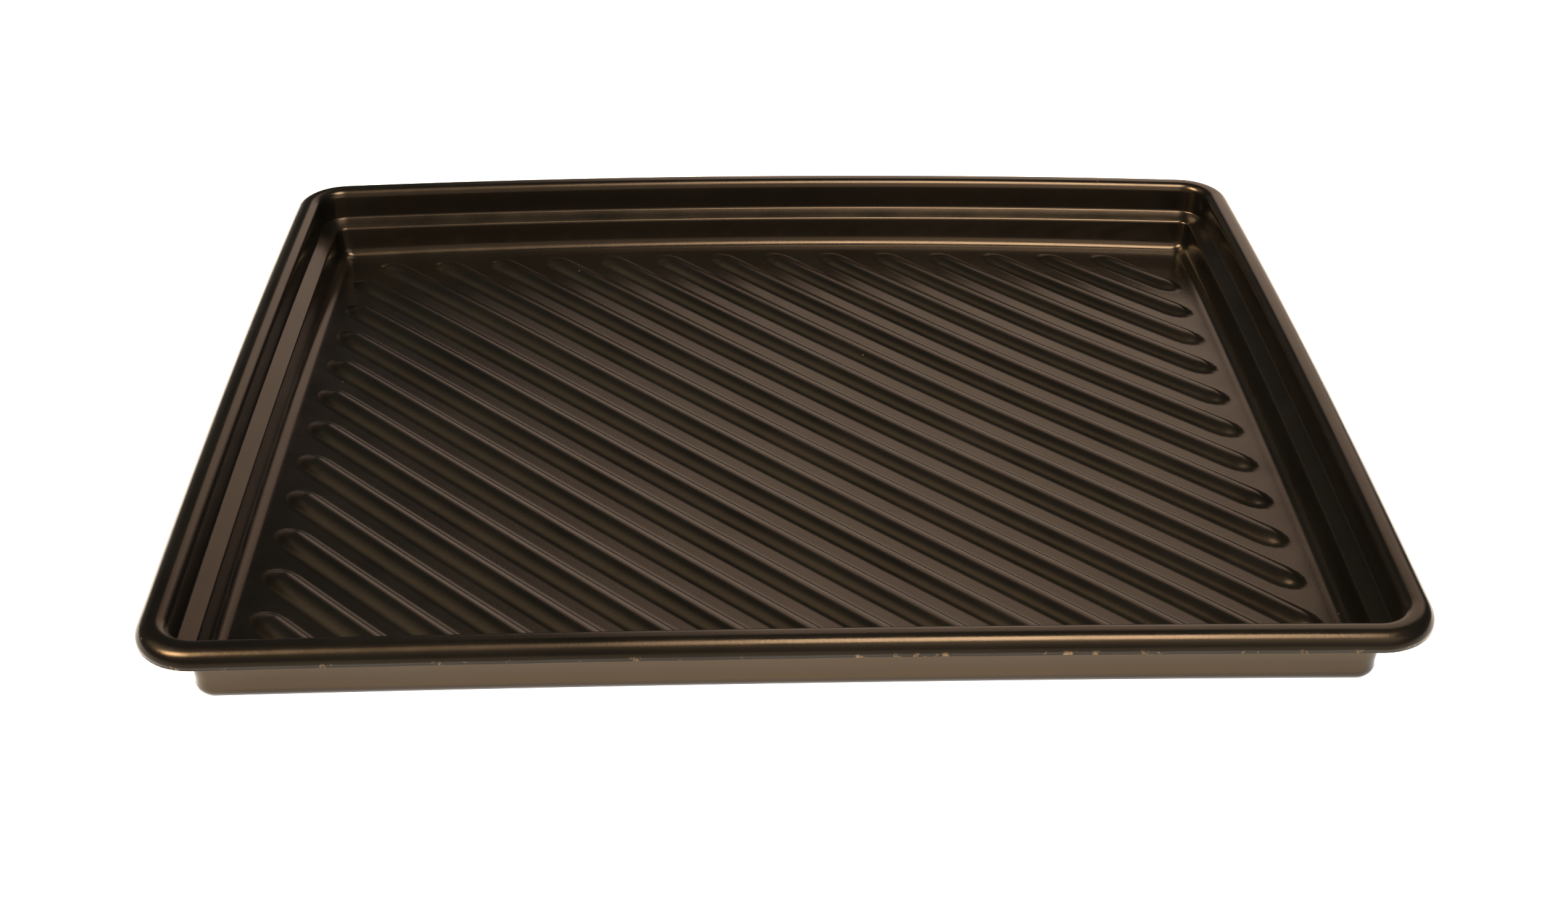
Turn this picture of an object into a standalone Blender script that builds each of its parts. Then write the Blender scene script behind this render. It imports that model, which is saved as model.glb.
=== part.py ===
"""Oil drain pan: one vacuum-formed plastic sheet, 36 x 30 inches.

The pan is a single sheet of constant thickness.  Its top skin is lofted
through rounded rectangles that follow the wall section from the trimmed lip,
over the rolled rim, down the stepped wall and round the cove to the floor.
Solidify then gives the skin the thickness of the sheet.  Parallel ribs cross
the floor at 45 degrees; each one is pressed up from below, so it is hollow
underneath.

Units are metres.  +Z is up, X runs along the long side, and the origin is at
the middle of the underside.
"""

import math

import bmesh
import bpy

MM = 0.001

# Driving dimensions
PAN_LENGTH = 914.4 * MM
PAN_WIDTH = 762.0 * MM
PAN_HEIGHT = 70.0 * MM
SHEET = 2.6 * MM

# Rolled rim: an outer arc down to the trimmed lip, a flat land, an inner arc
RIM_OUTER_RADIUS = 11.3 * MM
RIM_OUTER_SWEEP = 80.0
RIM_LAND = 3.0 * MM
RIM_INNER_RADIUS = 8.5 * MM
RIM_INNER_SWEEP = 88.0
LIP_DROP = 4.0 * MM

# Stepped wall: (inset from the lip, height) of its sharp corners, and their fillets
LEDGE_OUTER = (22.8 * MM, 41.6 * MM)
LEDGE_INNER = (35.6 * MM, 35.1 * MM)
FLOOR_EDGE = (38.0 * MM, SHEET)
LEDGE_FILLET = 3.0 * MM
COVE_FILLET = 9.0 * MM
FLOOR_BORDER = 2.0 * MM

# Facets along each curve of the section
RIM_OUTER_STEPS = 5
RIM_INNER_STEPS = 4
LEDGE_STEPS = 2
COVE_STEPS = 3

# Corners in plan: every outline shares the lip's corner centre until it gets too tight
LIP_CORNER = 46.0 * MM
TIGHTEST_CORNER = 10.0 * MM
CORNER_STEPS = 7

# Floor ribs
RIB_COUNT = 25
RIB_PITCH = 38.1 * MM
RIB_CREST_RADIUS = 16.0 * MM
RIB_FOOT_RADIUS = 8.0 * MM
RIB_FLANK_ANGLE = 38.0
RIB_CREST_STEPS = 2
RIB_CREST_SHARE = 0.85
RIB_END_STEPS = 4
RIB_MARGIN = 19.4 * MM
CUTTER_DEPTH = 3.0 * MM

MERGE_DISTANCE = 0.00001
SMOOTH_ANGLE = math.radians(35.0)


def clear_scene():
    for obj in list(bpy.data.objects):
        bpy.data.objects.remove(obj, do_unlink=True)


def new_collection(name):
    collection = bpy.data.collections.new(name)
    bpy.context.scene.collection.children.link(collection)
    return collection


def new_object(name, bm, collection):
    """Turn a bmesh into a named object in the given collection."""
    bmesh.ops.remove_doubles(bm, verts=bm.verts[:], dist=MERGE_DISTANCE)
    mesh = bpy.data.meshes.new(name)
    bm.to_mesh(mesh)
    bm.free()
    obj = bpy.data.objects.new(name, mesh)
    collection.objects.link(obj)
    return obj


def plastic_material():
    material = bpy.data.materials.new("black_sheet_plastic")
    material.use_nodes = True
    shader = material.node_tree.nodes["Principled BSDF"]
    shader.inputs["Base Color"].default_value = (0.022, 0.018, 0.015, 1.0)
    shader.inputs["Roughness"].default_value = 0.32
    shader.inputs["Metallic"].default_value = 0.0
    return material


def arc(centre, radius, start, end, steps):
    """Points of an arc in the section plane; angles are tilts from straight up."""
    points = []
    for step in range(steps + 1):
        tilt = math.radians(start + (end - start) * step / steps)
        inset = centre[0] + radius * math.sin(tilt)
        height = centre[1] + radius * math.cos(tilt)
        points.append((inset, height))
    return points


def fillet(before, corner, after, radius, steps):
    """Points of the arc that rounds a corner of the section."""
    to_before = (before[0] - corner[0], before[1] - corner[1])
    to_after = (after[0] - corner[0], after[1] - corner[1])
    length_before = math.hypot(*to_before)
    length_after = math.hypot(*to_after)
    unit_before = (to_before[0] / length_before, to_before[1] / length_before)
    unit_after = (to_after[0] / length_after, to_after[1] / length_after)
    dot = unit_before[0] * unit_after[0] + unit_before[1] * unit_after[1]
    half_angle = math.acos(dot) / 2.0
    bisector = (unit_before[0] + unit_after[0], unit_before[1] + unit_after[1])
    reach = radius / math.sin(half_angle) / math.hypot(*bisector)
    centre = (corner[0] + bisector[0] * reach, corner[1] + bisector[1] * reach)
    tangent = radius / math.tan(half_angle)
    start = (corner[0] + unit_before[0] * tangent, corner[1] + unit_before[1] * tangent)
    end = (corner[0] + unit_after[0] * tangent, corner[1] + unit_after[1] * tangent)
    start_angle = math.atan2(start[0] - centre[0], start[1] - centre[1])
    end_angle = math.atan2(end[0] - centre[0], end[1] - centre[1])
    turn = (end_angle - start_angle + math.pi) % (2.0 * math.pi) - math.pi
    return arc(centre, radius, math.degrees(start_angle), math.degrees(start_angle + turn), steps)


def wall_section():
    """The top skin from the lip to the flat floor, as (inset, height)."""
    outer_reach = RIM_OUTER_RADIUS * math.sin(math.radians(RIM_OUTER_SWEEP))
    outer_centre = (outer_reach, PAN_HEIGHT - RIM_OUTER_RADIUS)
    inner_centre = (outer_reach + RIM_LAND, PAN_HEIGHT - RIM_INNER_RADIUS)
    outer_arc = arc(outer_centre, RIM_OUTER_RADIUS, -RIM_OUTER_SWEEP, 0.0, RIM_OUTER_STEPS)
    inner_arc = arc(inner_centre, RIM_INNER_RADIUS, 0.0, RIM_INNER_SWEEP, RIM_INNER_STEPS)
    lip = (outer_arc[0][0], outer_arc[0][1] - LIP_DROP)
    ledge_outer = fillet(inner_arc[-1], LEDGE_OUTER, LEDGE_INNER, LEDGE_FILLET, LEDGE_STEPS)
    ledge_inner = fillet(LEDGE_OUTER, LEDGE_INNER, FLOOR_EDGE, LEDGE_FILLET, LEDGE_STEPS)
    floor_middle = (PAN_WIDTH / 2.0, SHEET)
    cove = fillet(LEDGE_INNER, FLOOR_EDGE, floor_middle, COVE_FILLET, COVE_STEPS)
    floor_border = (cove[-1][0] + FLOOR_BORDER, SHEET)
    return [lip] + outer_arc + inner_arc + ledge_outer + ledge_inner + cove + [floor_border]


def rounded_rectangle(half_x, half_y, radius):
    """Outline points, anticlockwise from above."""
    points = []
    for quarter, (sign_x, sign_y) in enumerate(((1, 1), (-1, 1), (-1, -1), (1, -1))):
        centre_x = sign_x * (half_x - radius)
        centre_y = sign_y * (half_y - radius)
        for step in range(CORNER_STEPS + 1):
            angle = math.pi / 2.0 * (quarter + step / CORNER_STEPS)
            x = centre_x + radius * math.cos(angle)
            y = centre_y + radius * math.sin(angle)
            points.append((x, y))
    return points


def add_loop(bm, outline, height):
    return [bm.verts.new((x, y, height)) for x, y in outline]


def bridge(bm, lower, upper):
    count = len(lower)
    for index in range(count):
        following = (index + 1) % count
        bm.faces.new((lower[index], lower[following], upper[following], upper[index]))


def make_sheet(collection):
    """The pan without its ribs: the lofted skin, thickened downwards."""
    bm = bmesh.new()
    previous = None
    for inset, height in wall_section():
        radius = max(LIP_CORNER - inset, TIGHTEST_CORNER)
        outline = rounded_rectangle(PAN_LENGTH / 2.0 - inset, PAN_WIDTH / 2.0 - inset, radius)
        loop = add_loop(bm, outline, height)
        if previous:
            bridge(bm, previous, loop)
        previous = loop
    bm.faces.new(previous)
    pan = new_object("pan", bm, collection)
    solidify = pan.modifiers.new("sheet_thickness", "SOLIDIFY")
    solidify.thickness = SHEET
    solidify.offset = -1.0
    solidify.use_even_offset = True
    solidify.use_quality_normals = True
    return pan


def rib_section():
    """Half of a rib's top profile, as (distance from its centreline, height, tilt)."""
    flank = math.radians(RIB_FLANK_ANGLE)
    foot_width = RIB_FOOT_RADIUS * math.sin(flank)
    foot_height = RIB_FOOT_RADIUS * (1.0 - math.cos(flank))
    crest_width = RIB_CREST_RADIUS * math.sin(flank)
    crest_drop = RIB_CREST_RADIUS * (1.0 - math.cos(flank))
    rib_height = foot_height + crest_drop
    profile = [(crest_width + foot_width, 0.0, 0.0)]
    for step in range(RIB_CREST_STEPS + 1):
        tilt = flank * (1.0 - RIB_CREST_SHARE * step / RIB_CREST_STEPS)
        height = rib_height - RIB_CREST_RADIUS * (1.0 - math.cos(tilt))
        profile.append((RIB_CREST_RADIUS * math.sin(tilt), height, tilt))
    return profile


def rib_ends(offset):
    """Centreline ends of the rib whose line is X + Y = offset * sqrt(2)."""
    half_width = rib_section()[0][0]
    floor_inset = FLOOR_EDGE[0] + RIB_MARGIN + half_width
    limit_x = PAN_LENGTH / 2.0 - floor_inset
    limit_y = PAN_WIDTH / 2.0 - floor_inset
    total = offset * math.sqrt(2.0)
    right_x = min(limit_x, total + limit_y)
    left_x = max(-limit_x, total - limit_y)
    return (left_x, total - left_x), (right_x, total - right_x)


def stadium(start, end, radius):
    """Outline at one distance from a centreline, anticlockwise from above."""
    along = math.atan2(end[1] - start[1], end[0] - start[0])
    points = []
    for centre, facing in ((start, along + math.pi / 2.0), (end, along - math.pi / 2.0)):
        for step in range(RIB_END_STEPS + 1):
            angle = facing + math.pi * step / RIB_END_STEPS
            x = centre[0] + radius * math.cos(angle)
            y = centre[1] + radius * math.sin(angle)
            points.append((x, y))
    return points


def add_rib(bm, start, end, levels):
    """A closed solid with round ends; levels are (radius, height), bottom first."""
    loops = []
    for radius, height in levels:
        loops.append(add_loop(bm, stadium(start, end, radius), height))
    for lower, upper in zip(loops, loops[1:]):
        bridge(bm, lower, upper)
    bm.faces.new(reversed(loops[0]))
    bm.faces.new(loops[-1])


def make_ribs(name, levels, collection):
    bm = bmesh.new()
    for index in range(RIB_COUNT):
        offset = (index - (RIB_COUNT - 1) / 2.0) * RIB_PITCH
        start, end = rib_ends(offset)
        add_rib(bm, start, end, levels)
    ribs = new_object(name, bm, collection)
    ribs.hide_render = True
    ribs.display_type = "WIRE"
    return ribs


def rib_top_levels():
    """Levels of the raised ribs, which start inside the floor's thickness."""
    profile = rib_section()
    levels = [(profile[0][0], SHEET / 2.0)]
    for radius, height, _tilt in profile:
        levels.append((radius, SHEET + height))
    return levels


def rib_hollow_levels():
    """Levels of the hollows under the ribs, one sheet thickness below the tops."""
    profile = rib_section()
    foot = profile[0][0] - SHEET * math.sin(profile[1][2]) / 2.0
    levels = [(foot, -CUTTER_DEPTH), (foot, 0.0)]
    for radius, height, tilt in profile[1:]:
        inner_radius = radius - SHEET * math.sin(tilt)
        inner_height = SHEET + height - SHEET * math.cos(tilt)
        levels.append((inner_radius, inner_height))
    return levels


def add_boolean(obj, name, operation, other):
    modifier = obj.modifiers.new(name, "BOOLEAN")
    modifier.operation = operation
    modifier.solver = "EXACT"
    modifier.object = other


def main():
    clear_scene()
    parts = new_collection("oil_drain_pan")
    cutters = new_collection("cutters")
    pan = make_sheet(parts)
    rib_tops = make_ribs("rib_tops", rib_top_levels(), cutters)
    rib_hollows = make_ribs("rib_hollows", rib_hollow_levels(), cutters)
    add_boolean(pan, "raise_ribs", "UNION", rib_tops)
    add_boolean(pan, "hollow_ribs", "DIFFERENCE", rib_hollows)
    pan.data.materials.append(plastic_material())
    pan.data.shade_smooth()
    pan.data.set_sharp_from_angle(angle=SMOOTH_ANGLE)


main()
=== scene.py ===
import math

import bmesh
import bpy
from mathutils import Matrix, Vector, noise
from mathutils.geometry import delaunay_2d_cdt


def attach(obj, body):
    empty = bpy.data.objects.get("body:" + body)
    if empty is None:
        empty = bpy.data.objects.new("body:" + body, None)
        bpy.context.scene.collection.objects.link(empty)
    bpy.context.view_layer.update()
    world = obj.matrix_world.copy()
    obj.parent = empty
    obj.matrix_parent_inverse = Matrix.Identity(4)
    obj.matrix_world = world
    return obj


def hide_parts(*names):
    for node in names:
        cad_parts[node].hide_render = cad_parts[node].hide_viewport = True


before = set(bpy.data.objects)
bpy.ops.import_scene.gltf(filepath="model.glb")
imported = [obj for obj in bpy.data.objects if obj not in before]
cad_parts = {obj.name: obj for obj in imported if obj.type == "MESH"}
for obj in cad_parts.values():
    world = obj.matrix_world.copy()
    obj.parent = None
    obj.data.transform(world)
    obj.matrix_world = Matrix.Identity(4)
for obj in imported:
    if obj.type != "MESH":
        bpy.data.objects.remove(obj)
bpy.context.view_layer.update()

MM = 0.001

# The pan before it is warped.  Section points are (inset from the lip, height).
PAN_LENGTH = 914.4 * MM
PAN_WIDTH = 762.0 * MM
PAN_HEIGHT = 65.8 * MM
SHEET = 2.6 * MM
RIM_OUTER_RADIUS = 11.3 * MM
RIM_OUTER_SWEEP = 80.0
RIM_LAND = 3.0 * MM
RIM_INNER_RADIUS = 8.5 * MM
RIM_INNER_SWEEP = 88.0
LIP_DROP = 4.0 * MM
LEDGE_OUTER = (22.7 * MM, 37.7 * MM)
LEDGE_INNER = (35.7 * MM, 31.1 * MM)
FLOOR_EDGE = (37.8 * MM, SHEET)
LEDGE_OUTER_FILLET = 2.5 * MM
LEDGE_INNER_FILLET = 3.0 * MM
COVE_FILLET = 10.0 * MM
LIP_CORNER = 46.0 * MM
TIGHTEST_CORNER = 10.0 * MM

# Ribs
RIB_COUNT = 25
RIB_PITCH = 38.1 * MM
RIB_CREST_RADIUS = 15.0 * MM
RIB_FOOT_RADIUS = 6.5 * MM
RIB_FLANK_ANGLE = math.radians(39.0)
RIB_FLANK = 1.0 * MM
RIB_SHIFT = -2.0 * MM
RIB_SKEW = 2.2 * MM
RIB_END_STRETCH = 1.7
RIB_MARGIN = 24.0 * MM
CREST_TILTS = (8.0, 16.0, 23.0, 29.0, 34.0, 39.0)
FOOT_TILTS = (39.0, 29.0, 18.0, 8.0, 0.0)

# Extra thickness that squares off the bottom edge, and the share of the room for it that is used
COVE_THICKENING = 3.1 * MM
COVE_ROOM_SHARE = 0.7
THICKEST = SHEET + COVE_THICKENING

# How the sheet is warped: up midway along its sides, out in plan, and up at the back of the floor
CROWN = 5.9 * MM
BASE_INSET = 42.0 * MM
FRONT_SWELL = 3.5 * MM
SIDE_SWELL = 0.7 * MM
STRETCH = 1.005
BACK_LIFT = 2.6 * MM

# Unevenness of the sheet and of the trimmed lip, as (frequency, offset, amount)
SLOW_WAVES = (5.0, 3.7, 0.5 * MM)
QUICK_WAVES = (16.0, 8.1, 0.10 * MM)
RAGGED_LIP = 0.35 * MM
RAGGED_LOOPS = 3

# How far the rim's reflection is dimmed as painted shade, loop by loop inwards from the lip; the
# outermost loop also carries the painted lip glints
EDGE_SHADE_AND_GLINT = (1.0, 0.96, 0.96, 0.95, 0.9, 0.6, 0.2, 0.05)

# Mesh spacing
SIDE_STEP = 13.0 * MM
CORNER_STEPS = 14
RIM_STEPS = 11
WALL_STEPS = 3
LEDGE_STEPS = 2
LEDGE_FILLET_STEPS = 5
COVE_STEPS = 7
COVE_TO_FLOOR = 2.5 * MM
FLOOR_BORDER = 13.0 * MM
RIB_STEP = 16.0 * MM
RIB_END_STEPS = 8
RIB_SURROUND = 1.5 * MM
SHARP_ANGLE = math.radians(50.0)
INSIDE_FACES = 1
MERGE_DISTANCE = 1e-6

# Colours and finish
BLACK_DARK = (0.0027, 0.0026, 0.0023, 1.0)
BLACK_LIGHT = (0.0046, 0.0044, 0.0039, 1.0)
DUST_COLOUR = (0.16, 0.11, 0.07, 1.0)
# pale colour painted along the lip as highlights on the trimmed edge
LIP_GLINT_COLOUR = (0.22, 0.14, 0.07, 1.0)
SHEEN_TINT = (1.0, 0.74, 0.52, 1.0)
# specular level of the plain sheet, and of the rim's outer edge where it is dimmed as painted shade
UNSHADED_SPECULAR = 0.5
SHADED_EDGE_SPECULAR = 0.08
SMOOTHEST = 0.18
ROUGHEST = 0.26
FLOOR_COLOUR = (0.86, 0.86, 0.86, 1.0)
FLOOR_GLOW_COLOUR = (1.0, 0.98, 0.96, 1.0)
FLOOR_GLOW = 1.3
FLOOR_HALF_SIZE = 8.0

# Soft panels of light round the pan.  Each runs along X between its ends and across X between
# its sides, both given as (dark, full, full, dark).  Ends are the X part of the sight line;
# sides are degrees over the top from +Y.
PANELS = [
    ("key", (-0.09, 0.12, 0.26, 0.40), (90.0, 97.0, 113.0, 125.0), (21.0, 17.8, 14.0)),
    ("key_tail", (-0.75, -0.55, -0.10, 0.0), (92.0, 101.0, 118.0, 135.0), (0.7, 0.6, 0.5)),
    ("left_lamp", (-0.78, -0.68, -0.42, -0.32), (96.0, 102.0, 116.0, 126.0), (34.0, 27.0, 17.0)),
    ("left_ceiling", (-0.95, -0.76, -0.45, -0.28), (52.0, 74.0, 92.0, 108.0), (0.76, 0.66, 0.51)),
    ("window", (-0.15, 0.04, 0.46, 0.64), (-5.0, 8.0, 38.0, 50.0), (1.25, 0.96, 0.77)),
    ("low_left", (-0.80, -0.60, -0.30, -0.24), (0.0, 10.0, 24.0, 34.0), (0.12, 0.10, 0.08)),
    ("behind", (-1.0, -0.50, 0.60, 1.0), (118.0, 135.0, 176.0, 180.0), (0.6, 0.52, 0.43)),
    ("behind_right", (0.0, 0.12, 0.50, 0.80), (115.0, 125.0, 160.0, 178.0), (1.4, 1.2, 1.0)),
]
DIM_ROOM = (0.026, 0.031, 0.038)

# Camera
SENSOR_WIDTH = 36.0
FOCAL_LENGTH = 3302.96 / 2541.0 * SENSOR_WIDTH
CAMERA_PLACE = (-0.0508, -1.4911, 0.9291)
CAMERA_YAW = -0.0387
CAMERA_PITCH = 0.5637
CAMERA_ROLL = -0.0087
NEAREST = 0.05
FARTHEST = 50.0

# Sockets of the colour mix node
MIX_SHARE = 0
MIX_BELOW = 6
MIX_ABOVE = 7
MIX_RESULT = 2

QUARTER_SIGNS = ((1, 1), (-1, 1), (-1, -1), (1, -1))


def link(obj):
    bpy.context.scene.collection.objects.link(obj)
    return obj


# ---------------------------------------------------------------- pan section


def arc(centre, radius, start, end, steps):
    points = []
    for step in range(steps + 1):
        tilt = math.radians(start + (end - start) * step / steps)
        points.append((centre[0] + radius * math.sin(tilt), centre[1] + radius * math.cos(tilt)))
    return points


def between(start, end, steps):
    """Points strictly between two points of the plane."""
    points = []
    for step in range(1, steps):
        share = step / steps
        points.append((start[0] + (end[0] - start[0]) * share, start[1] + (end[1] - start[1]) * share))
    return points


def fillet(before, corner, after, radius, steps):
    to_before = Vector(before) - Vector(corner)
    to_after = Vector(after) - Vector(corner)
    to_before.normalize()
    to_after.normalize()
    half_angle = math.acos(to_before.dot(to_after)) / 2.0
    bisector = (to_before + to_after).normalized()
    centre = Vector(corner) + bisector * (radius / math.sin(half_angle))
    tangent = radius / math.tan(half_angle)
    start = Vector(corner) + to_before * tangent
    end = Vector(corner) + to_after * tangent
    start_angle = math.atan2(start.x - centre.x, start.y - centre.y)
    end_angle = math.atan2(end.x - centre.x, end.y - centre.y)
    turn = (end_angle - start_angle + math.pi) % (2.0 * math.pi) - math.pi
    return arc(centre, radius, math.degrees(start_angle), math.degrees(start_angle + turn), steps)


def wall_section():
    """The top skin from the lip to the flat floor, as (inset, height)."""
    outer_reach = RIM_OUTER_RADIUS * math.sin(math.radians(RIM_OUTER_SWEEP))
    outer_centre = (outer_reach, PAN_HEIGHT - RIM_OUTER_RADIUS)
    outer_arc = arc(outer_centre, RIM_OUTER_RADIUS, -RIM_OUTER_SWEEP, 0.0, RIM_STEPS)
    inner_centre = (outer_reach + RIM_LAND, PAN_HEIGHT - RIM_INNER_RADIUS)
    inner_arc = arc(inner_centre, RIM_INNER_RADIUS, 0.0, RIM_INNER_SWEEP, RIM_STEPS)
    lip = (outer_arc[0][0], outer_arc[0][1] - LIP_DROP)
    floor_middle = (PAN_WIDTH / 2.0, SHEET)
    ledge_outer = fillet(inner_arc[-1], LEDGE_OUTER, LEDGE_INNER, LEDGE_OUTER_FILLET, LEDGE_FILLET_STEPS)
    ledge_inner = fillet(LEDGE_OUTER, LEDGE_INNER, FLOOR_EDGE, LEDGE_INNER_FILLET, LEDGE_FILLET_STEPS)
    cove = fillet(LEDGE_INNER, FLOOR_EDGE, floor_middle, COVE_FILLET, COVE_STEPS)
    section = [lip] + outer_arc + inner_arc
    section += between(inner_arc[-1], ledge_outer[0], WALL_STEPS)
    section += ledge_outer + between(ledge_outer[-1], ledge_inner[0], LEDGE_STEPS) + ledge_inner
    section += between(ledge_inner[-1], cove[0], WALL_STEPS)
    section += cove
    section.append((cove[-1][0] + COVE_TO_FLOOR, SHEET))
    return section


def outline(inset):
    """Points of a rounded rectangle; every inset gives the same number of points."""
    radius = max(LIP_CORNER - inset, TIGHTEST_CORNER)
    half_x = PAN_LENGTH / 2.0 - inset
    half_y = PAN_WIDTH / 2.0 - inset
    long_steps = round((PAN_LENGTH - 2.0 * LIP_CORNER) / SIDE_STEP)
    short_steps = round((PAN_WIDTH - 2.0 * LIP_CORNER) / SIDE_STEP)

    def corner_point(quarter, angle):
        sign_x, sign_y = QUARTER_SIGNS[quarter]
        centre_x = sign_x * (half_x - radius)
        centre_y = sign_y * (half_y - radius)
        return (centre_x + radius * math.cos(angle), centre_y + radius * math.sin(angle))

    points = []
    for quarter in range(4):
        for step in range(CORNER_STEPS + 1):
            points.append(corner_point(quarter, math.pi / 2.0 * (quarter + step / CORNER_STEPS)))
        following = (quarter + 1) % 4
        target = corner_point(following, math.pi / 2.0 * following)
        points += between(points[-1], target, long_steps if quarter % 2 == 0 else short_steps)
    return points


# ---------------------------------------------------------------- ribs


def rib_profile():
    """The rib's surface from near its centreline to its foot, as (distance, height)."""
    flank_run = RIB_FLANK * math.cos(RIB_FLANK_ANGLE)
    flank_rise = RIB_FLANK * math.sin(RIB_FLANK_ANGLE)
    foot = (RIB_CREST_RADIUS + RIB_FOOT_RADIUS) * math.sin(RIB_FLANK_ANGLE) + flank_run
    height = (RIB_CREST_RADIUS + RIB_FOOT_RADIUS) * (1.0 - math.cos(RIB_FLANK_ANGLE)) + flank_rise
    profile = []
    for tilt in [math.radians(t) for t in CREST_TILTS]:
        drop = RIB_CREST_RADIUS * (1.0 - math.cos(tilt))
        profile.append((RIB_CREST_RADIUS * math.sin(tilt), height - drop))
    for tilt in [math.radians(t) for t in FOOT_TILTS]:
        rise = RIB_FOOT_RADIUS * (1.0 - math.cos(tilt))
        profile.append((foot - RIB_FOOT_RADIUS * math.sin(tilt), rise))
    return profile, foot, height


RIB_PROFILE, RIB_FOOT, RIB_HEIGHT = rib_profile()


def rib_lines():
    """Start and end of each rib's centreline, from back left to front right."""
    floor_inset = FLOOR_EDGE[0] + RIB_MARGIN + RIB_FOOT
    limit_x = PAN_LENGTH / 2.0 - floor_inset
    limit_y = PAN_WIDTH / 2.0 - floor_inset
    lines = []
    for index in range(RIB_COUNT):
        total = ((index - (RIB_COUNT - 1) / 2.0) * RIB_PITCH + RIB_SHIFT) * math.sqrt(2.0)
        right_x = min(limit_x, total + limit_y)
        left_x = max(-limit_x, total - limit_y)
        lines.append((Vector((left_x, total - left_x)), Vector((right_x, total - right_x))))
    return lines


def stadium(start, end, radius, height):
    """Closed outline at one distance from a rib's centreline, leaning back as it rises."""
    direction = (end - start).normalized()
    side = Vector((-direction.y, direction.x))
    lean = side * (RIB_SKEW * height / RIB_HEIGHT)
    start, end = start + lean, end + lean
    steps = max(2, round((end - start).length / RIB_STEP))
    points = []
    for a, b, sign in ((end, start, 1.0), (start, end, -1.0)):
        for step in range(steps):
            points.append(a.lerp(b, step / steps) + side * radius * sign)
        for step in range(RIB_END_STEPS):
            angle = math.pi * step / RIB_END_STEPS
            beyond = direction * (math.sin(angle) * RIB_END_STRETCH)
            points.append(b + (side * math.cos(angle) - beyond) * radius * sign)
    return points


def floor_points(border):
    """Plan points of the floor with their rib heights, and the edges that must be kept."""
    points = [Vector(p) for p in border]
    heights = [0.0] * len(points)
    edges = [(i, (i + 1) % len(points)) for i in range(len(points))]
    lean = Vector((1.0, 1.0)).normalized() * RIB_SKEW
    for start, end in rib_lines():
        steps = max(2, round((end - start).length / RIB_STEP))
        first = len(points)
        for step in range(steps + 1):
            points.append(start.lerp(end, step / steps) + lean)
            heights.append(RIB_HEIGHT)
        edges += [(first + i, first + i + 1) for i in range(steps)]
        for radius, height in RIB_PROFILE + [(RIB_FOOT + RIB_SURROUND, 0.0)]:
            loop = stadium(start, end, radius, height)
            first = len(points)
            points += loop
            heights += [height] * len(loop)
            edges += [(first + i, first + (i + 1) % len(loop)) for i in range(len(loop))]
    # a few points in the plain border between the rib ends and the cove
    for x, y in outline(FLOOR_EDGE[0] + FLOOR_BORDER)[::2]:
        points.append(Vector((x, y)))
        heights.append(0.0)
    return points, heights, edges


# ---------------------------------------------------------------- pan mesh


def waves(point, shape):
    frequency, offset, amount = shape
    return noise.noise(Vector((point.x * frequency, point.y * frequency, offset))) * amount


def warp(point):
    """The formed sheet is not quite flat: it stands on its corners and swells a little midway."""
    along = min(abs(point.x) / (PAN_LENGTH / 2.0 - BASE_INSET), 1.0)
    across = min(abs(point.y) / (PAN_WIDTH / 2.0 - BASE_INSET), 1.0)
    crown = CROWN * (along * along + across * across - 2.0 * along * along * across * across)
    inside = (1.0 - along**6) * (1.0 - across**6)
    uneven = (waves(point, SLOW_WAVES) + waves(point, QUICK_WAVES)) * inside
    below_ledge = min(max(1.0 - point.z / LEDGE_INNER[1], 0.0), 1.0)
    lift = 0.0
    if point.y > 0.0:
        lift = BACK_LIFT * across * across * below_ledge * (1.0 - along * along)
    swell_x = math.copysign(SIDE_SWELL * (1.0 - across * across) * along, point.x)
    swell_y = math.copysign(FRONT_SWELL * (1.0 - along * along) * across, point.y)
    return Vector((point.x * STRETCH + swell_x, point.y + swell_y, point.z + crown + lift + uneven))


def cove_extra(row, rows, height):
    """Extra thickness of one loop of the section, kept above the ground."""
    into_cove = (row - rows + COVE_STEPS + 2) / COVE_STEPS
    if not 0.0 < into_cove < 1.0:
        return 0.0
    room = height / math.cos(math.pi / 2.0 * (1.0 - into_cove)) - SHEET
    return max(min(COVE_THICKENING * math.sin(math.pi * into_cove), COVE_ROOM_SHARE * room), 0.0)


def lip_raggedness(x, y, row):
    """How far the trimmed lip strays up or down, fading over the outermost loops."""
    if row >= RAGGED_LOOPS:
        return 0.0
    ragged = noise.noise(Vector((x * 45.0, y * 45.0, 1.3)))
    ragged += 0.5 * noise.noise(Vector((x * 120.0, y * 120.0, 5.3)))
    return ragged * RAGGED_LIP * (1.0 - row / RAGGED_LOOPS)


def add_walls(bm, thickness, edge_shade_and_glint):
    """Loops of the section from the lip inwards, joined by quads.  Returns the innermost loop."""
    section = wall_section()
    previous = None
    for row, (inset, height) in enumerate(section):
        extra = cove_extra(row, len(section), height)
        loop = []
        for x, y in outline(inset):
            vert = bm.verts.new((x, y, height + lip_raggedness(x, y, row)))
            vert[thickness] = (SHEET + extra) / THICKEST
            # mask for the painted shade on the rim's outer edge and the painted glints on the lip
            vert[edge_shade_and_glint] = EDGE_SHADE_AND_GLINT[row] if row < len(EDGE_SHADE_AND_GLINT) else 0.0
            loop.append(vert)
        if previous:
            count = len(loop)
            for i in range(count):
                j = (i + 1) % count
                bm.faces.new((previous[i], previous[j], loop[j], loop[i]))
        previous = loop
    return previous


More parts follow.
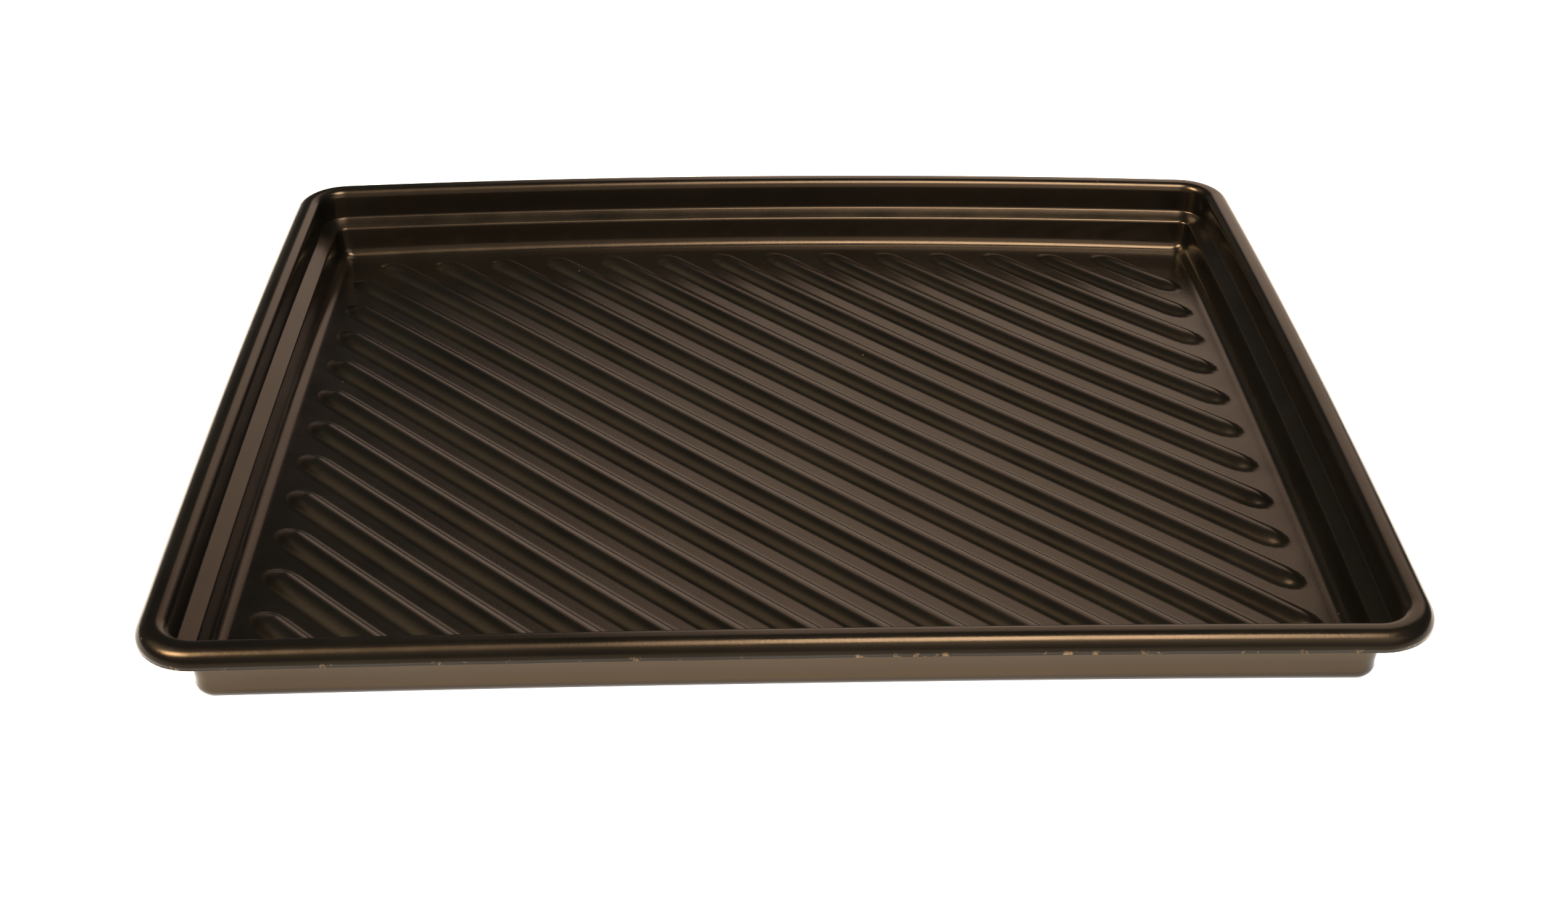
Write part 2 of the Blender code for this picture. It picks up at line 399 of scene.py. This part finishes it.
def add_ribbed_floor(bm, thickness, rim):
    """Triangulated floor with its ribs, sharing the vertices of the innermost wall loop."""
    count = len(rim)
    points, heights, edges = floor_points([(v.co.x, v.co.y) for v in rim])
    made, _edges, faces, origins, _eo, _fo = delaunay_2d_cdt(
        points, edges, [list(range(count))], INSIDE_FACES, MERGE_DISTANCE
    )
    verts = []
    for point, sources in zip(made, origins):
        if sources and min(sources) < count:
            verts.append(rim[min(sources)])
        else:
            height = heights[sources[0]] if sources else 0.0
            vert = bm.verts.new((point.x, point.y, SHEET + height))
            vert[thickness] = SHEET / THICKEST
            verts.append(vert)
    for face in faces:
        corners = [verts[i] for i in face]
        if len(set(corners)) == len(corners):
            bm.faces.new(corners)


def build_pan():
    bm = bmesh.new()
    thickness = bm.verts.layers.float.new("sheet_thickness")
    # mask for the painted shade on the rim's outer edge and the painted glints on the lip
    edge_shade_and_glint = bm.verts.layers.float.new("painted_edge_shade_and_glint")
    add_ribbed_floor(bm, thickness, add_walls(bm, thickness, edge_shade_and_glint))
    bmesh.ops.recalc_face_normals(bm, faces=bm.faces[:])
    for vert in bm.verts:
        vert.co = warp(vert.co)
    lowest = min(v.co.z for v in bm.verts)
    for vert in bm.verts:
        vert.co.z += SHEET - lowest
    if sum(f.normal.z * f.calc_area() for f in bm.faces) < 0.0:
        bmesh.ops.reverse_faces(bm, faces=bm.faces[:])
    mesh = bpy.data.meshes.new("drain_pan_sheet")
    bm.verts.index_update()
    shares = [vert[thickness] for vert in bm.verts]
    bm.to_mesh(mesh)
    bm.free()
    obj = link(bpy.data.objects.new("drain_pan_sheet", mesh))
    group = obj.vertex_groups.new(name="sheet_thickness")
    for index, share in enumerate(shares):
        group.add([index], share, "REPLACE")
    solidify = obj.modifiers.new("sheet", "SOLIDIFY")
    solidify.thickness = THICKEST
    solidify.vertex_group = group.name
    solidify.offset = -1.0
    solidify.use_even_offset = True
    mesh.shade_smooth()
    mesh.set_sharp_from_angle(angle=SHARP_ANGLE)
    return obj


# ---------------------------------------------------------------- materials


def nodes_of(material):
    material.use_nodes = True
    tree = material.node_tree
    return tree.nodes, tree.links, tree.nodes["Principled BSDF"]


def noise_texture(nodes, links, coordinates, scale, detail=2.0, roughness=0.5):
    node = nodes.new("ShaderNodeTexNoise")
    node.inputs["Scale"].default_value = scale
    node.inputs["Detail"].default_value = detail
    node.inputs["Roughness"].default_value = roughness
    links.new(coordinates, node.inputs["Vector"])
    return node.outputs["Fac"]


def map_range(nodes, links, value, low, high, to_low, to_high):
    node = nodes.new("ShaderNodeMapRange")
    node.inputs["From Min"].default_value = low
    node.inputs["From Max"].default_value = high
    node.inputs["To Min"].default_value = to_low
    node.inputs["To Max"].default_value = to_high
    links.new(value, node.inputs["Value"])
    return node.outputs["Result"]


def math_node(nodes, links, operation, first, second):
    node = nodes.new("ShaderNodeMath")
    node.operation = operation
    links.new(first, node.inputs[0])
    links.new(second, node.inputs[1])
    return node.outputs["Value"]


def mixed_in(nodes, links, share, below, colour):
    """One plain colour laid over another colour by a share."""
    node = nodes.new("ShaderNodeMix")
    node.data_type = "RGBA"
    node.inputs[MIX_ABOVE].default_value = colour
    links.new(share, node.inputs[MIX_SHARE])
    links.new(below, node.inputs[MIX_BELOW])
    return node.outputs[MIX_RESULT]


def bump(nodes, links, height, strength, distance):
    node = nodes.new("ShaderNodeBump")
    node.inputs["Strength"].default_value = strength
    node.inputs["Distance"].default_value = distance
    links.new(height, node.inputs["Height"])
    return node


def uneven_black(nodes, links, coordinates):
    """Near black with a brown cast."""
    ramp = nodes.new("ShaderNodeValToRGB")
    ramp.color_ramp.elements[0].position = 0.35
    ramp.color_ramp.elements[0].color = BLACK_DARK
    ramp.color_ramp.elements[1].position = 0.7
    ramp.color_ramp.elements[1].color = BLACK_LIGHT
    links.new(noise_texture(nodes, links, coordinates, 9.0, 3.0), ramp.inputs["Fac"])
    return ramp.outputs["Color"]


def dust_specks(nodes, links, coordinates):
    """Share of sparse pale specks: the middles of a few cells."""
    specks = nodes.new("ShaderNodeTexVoronoi")
    specks.inputs["Scale"].default_value = 60.0
    links.new(coordinates, specks.inputs["Vector"])
    near = map_range(nodes, links, specks.outputs["Distance"], 0.045, 0.02, 0.0, 1.0)
    separate = nodes.new("ShaderNodeSeparateColor")
    links.new(specks.outputs["Color"], separate.inputs["Color"])
    rare = map_range(nodes, links, separate.outputs["Red"], 0.965, 0.985, 0.0, 1.0)
    return math_node(nodes, links, "MULTIPLY", near, rare)


def lip_painted_glints(nodes, links, coordinates, edge_shade_and_glint):
    """Share of painted highlights along the lip: pale marks standing in for glints on the trimmed edge.
    """
    lip = map_range(nodes, links, edge_shade_and_glint, 0.96, 1.0, 0.0, 1.0)
    glint_noise = noise_texture(nodes, links, coordinates, 55.0, 4.0, 0.7)
    glint_share = map_range(nodes, links, glint_noise, 0.58, 0.66, 0.0, 0.8)
    return math_node(nodes, links, "MULTIPLY", lip, glint_share)


def pan_material():
    material = bpy.data.materials.new("black_sheet_plastic")
    nodes, links, shader = nodes_of(material)
    coordinates = nodes.new("ShaderNodeTexCoord").outputs["Object"]
    edge = nodes.new("ShaderNodeAttribute")
    edge.attribute_name = "painted_edge_shade_and_glint"
    edge_shade_and_glint = edge.outputs["Fac"]

    colour = uneven_black(nodes, links, coordinates)
    colour = mixed_in(nodes, links, dust_specks(nodes, links, coordinates), colour, DUST_COLOUR)
    # painted highlights: pale marks along the lip
    painted_glints = lip_painted_glints(nodes, links, coordinates, edge_shade_and_glint)
    colour = mixed_in(nodes, links, painted_glints, colour, LIP_GLINT_COLOUR)
    links.new(colour, shader.inputs["Base Color"])

    # painted shade: the reflection on the outer edge of the rim is dimmed to darken it
    painted_edge_shade = map_range(nodes, links, edge_shade_and_glint, 0.0, 1.0, UNSHADED_SPECULAR, SHADED_EDGE_SPECULAR)
    links.new(painted_edge_shade, shader.inputs["Specular IOR Level"])
    shader.inputs["Specular Tint"].default_value = SHEEN_TINT

    # the sheen drifts a little from place to place
    patches = noise_texture(nodes, links, coordinates, 22.0, 4.0, 0.6)
    rough = map_range(nodes, links, patches, 0.3, 0.7, SMOOTHEST, ROUGHEST)
    links.new(rough, shader.inputs["Roughness"])

    # orange peel and fine grain
    peel = bump(nodes, links, noise_texture(nodes, links, coordinates, 420.0, 2.0), 0.12, 0.0004)
    grain = bump(nodes, links, noise_texture(nodes, links, coordinates, 1500.0, 2.0), 0.10, 0.0001)
    links.new(peel.outputs["Normal"], grain.inputs["Normal"])
    links.new(grain.outputs["Normal"], shader.inputs["Normal"])
    return material


def floor_material():
    material = bpy.data.materials.new("studio_floor")
    _nodes, _links, shader = nodes_of(material)
    shader.inputs["Base Color"].default_value = FLOOR_COLOUR
    shader.inputs["Roughness"].default_value = 0.9
    shader.inputs["Specular IOR Level"].default_value = 0.1
    shader.inputs["Emission Color"].default_value = FLOOR_GLOW_COLOUR
    shader.inputs["Emission Strength"].default_value = FLOOR_GLOW
    return material


# ---------------------------------------------------------------- scene


def build_floor():
    bm = bmesh.new()
    bmesh.ops.create_grid(bm, x_segments=1, y_segments=1, size=FLOOR_HALF_SIZE)
    mesh = bpy.data.meshes.new("studio_floor")
    bm.to_mesh(mesh)
    bm.free()
    obj = link(bpy.data.objects.new("studio_floor", mesh))
    obj.data.materials.append(floor_material())


def soft_band(nodes, links, value, stops):
    """1 between the middle two stops, fading to 0 at the outer two."""
    edges = []
    for dark, full in (stops[:2], stops[:1:-1]):
        fade = nodes.new("ShaderNodeMapRange")
        fade.interpolation_type = "SMOOTHSTEP"
        fade.inputs["From Min"].default_value = dark
        fade.inputs["From Max"].default_value = full
        links.new(value, fade.inputs["Value"])
        edges.append(fade.outputs["Result"])
    return math_node(nodes, links, "MULTIPLY", edges[0], edges[1])


def build_world():
    """A dim room lit by soft panels with faded edges."""
    world = bpy.data.worlds.new("studio")
    bpy.context.scene.world = world
    world.use_nodes = True
    nodes, links = world.node_tree.nodes, world.node_tree.links
    split = nodes.new("ShaderNodeSeparateXYZ")
    links.new(nodes.new("ShaderNodeTexCoord").outputs["Generated"], split.inputs["Vector"])
    over = math_node(nodes, links, "ARCTAN2", split.outputs["Z"], split.outputs["Y"])
    total = None
    for name, ends, sides, colour in PANELS:
        along = soft_band(nodes, links, split.outputs["X"], ends)
        across = soft_band(nodes, links, over, [math.radians(side) for side in sides])
        glow = nodes.new("ShaderNodeVectorMath")
        glow.name = name
        glow.operation = "SCALE"
        glow.inputs[0].default_value = colour
        links.new(math_node(nodes, links, "MULTIPLY", along, across), glow.inputs["Scale"])
        join = nodes.new("ShaderNodeVectorMath")
        join.operation = "ADD"
        links.new(glow.outputs["Vector"], join.inputs[0])
        if total is None:
            join.inputs[1].default_value = DIM_ROOM
        else:
            links.new(total, join.inputs[1])
        total = join.outputs["Vector"]
    links.new(total, nodes["Background"].inputs["Color"])


def build_camera():
    data = bpy.data.cameras.new("camera")
    data.sensor_width = SENSOR_WIDTH
    data.lens = FOCAL_LENGTH
    data.clip_start = NEAREST
    data.clip_end = FARTHEST
    yaw = Matrix.Rotation(CAMERA_YAW, 3, "Z")
    pitch = Matrix.Rotation(-CAMERA_PITCH, 3, "X")
    roll = Matrix.Rotation(CAMERA_ROLL, 3, "Y")
    turn = yaw @ pitch @ roll
    right, forward, up = turn.col[0], turn.col[1], turn.col[2]
    obj = link(bpy.data.objects.new("camera", data))
    pose = Matrix.Identity(4)
    for row in range(3):
        pose[row][0] = right[row]
        pose[row][1] = up[row]
        pose[row][2] = -forward[row]
        pose[row][3] = CAMERA_PLACE[row]
    obj.matrix_world = pose
    bpy.context.scene.camera = obj


bpy.context.scene.view_settings.view_transform = "Standard"
build_camera()
build_world()
build_floor()
pan = build_pan()
pan.data.materials.append(pan_material())
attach(pan, "root")
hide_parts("pan")
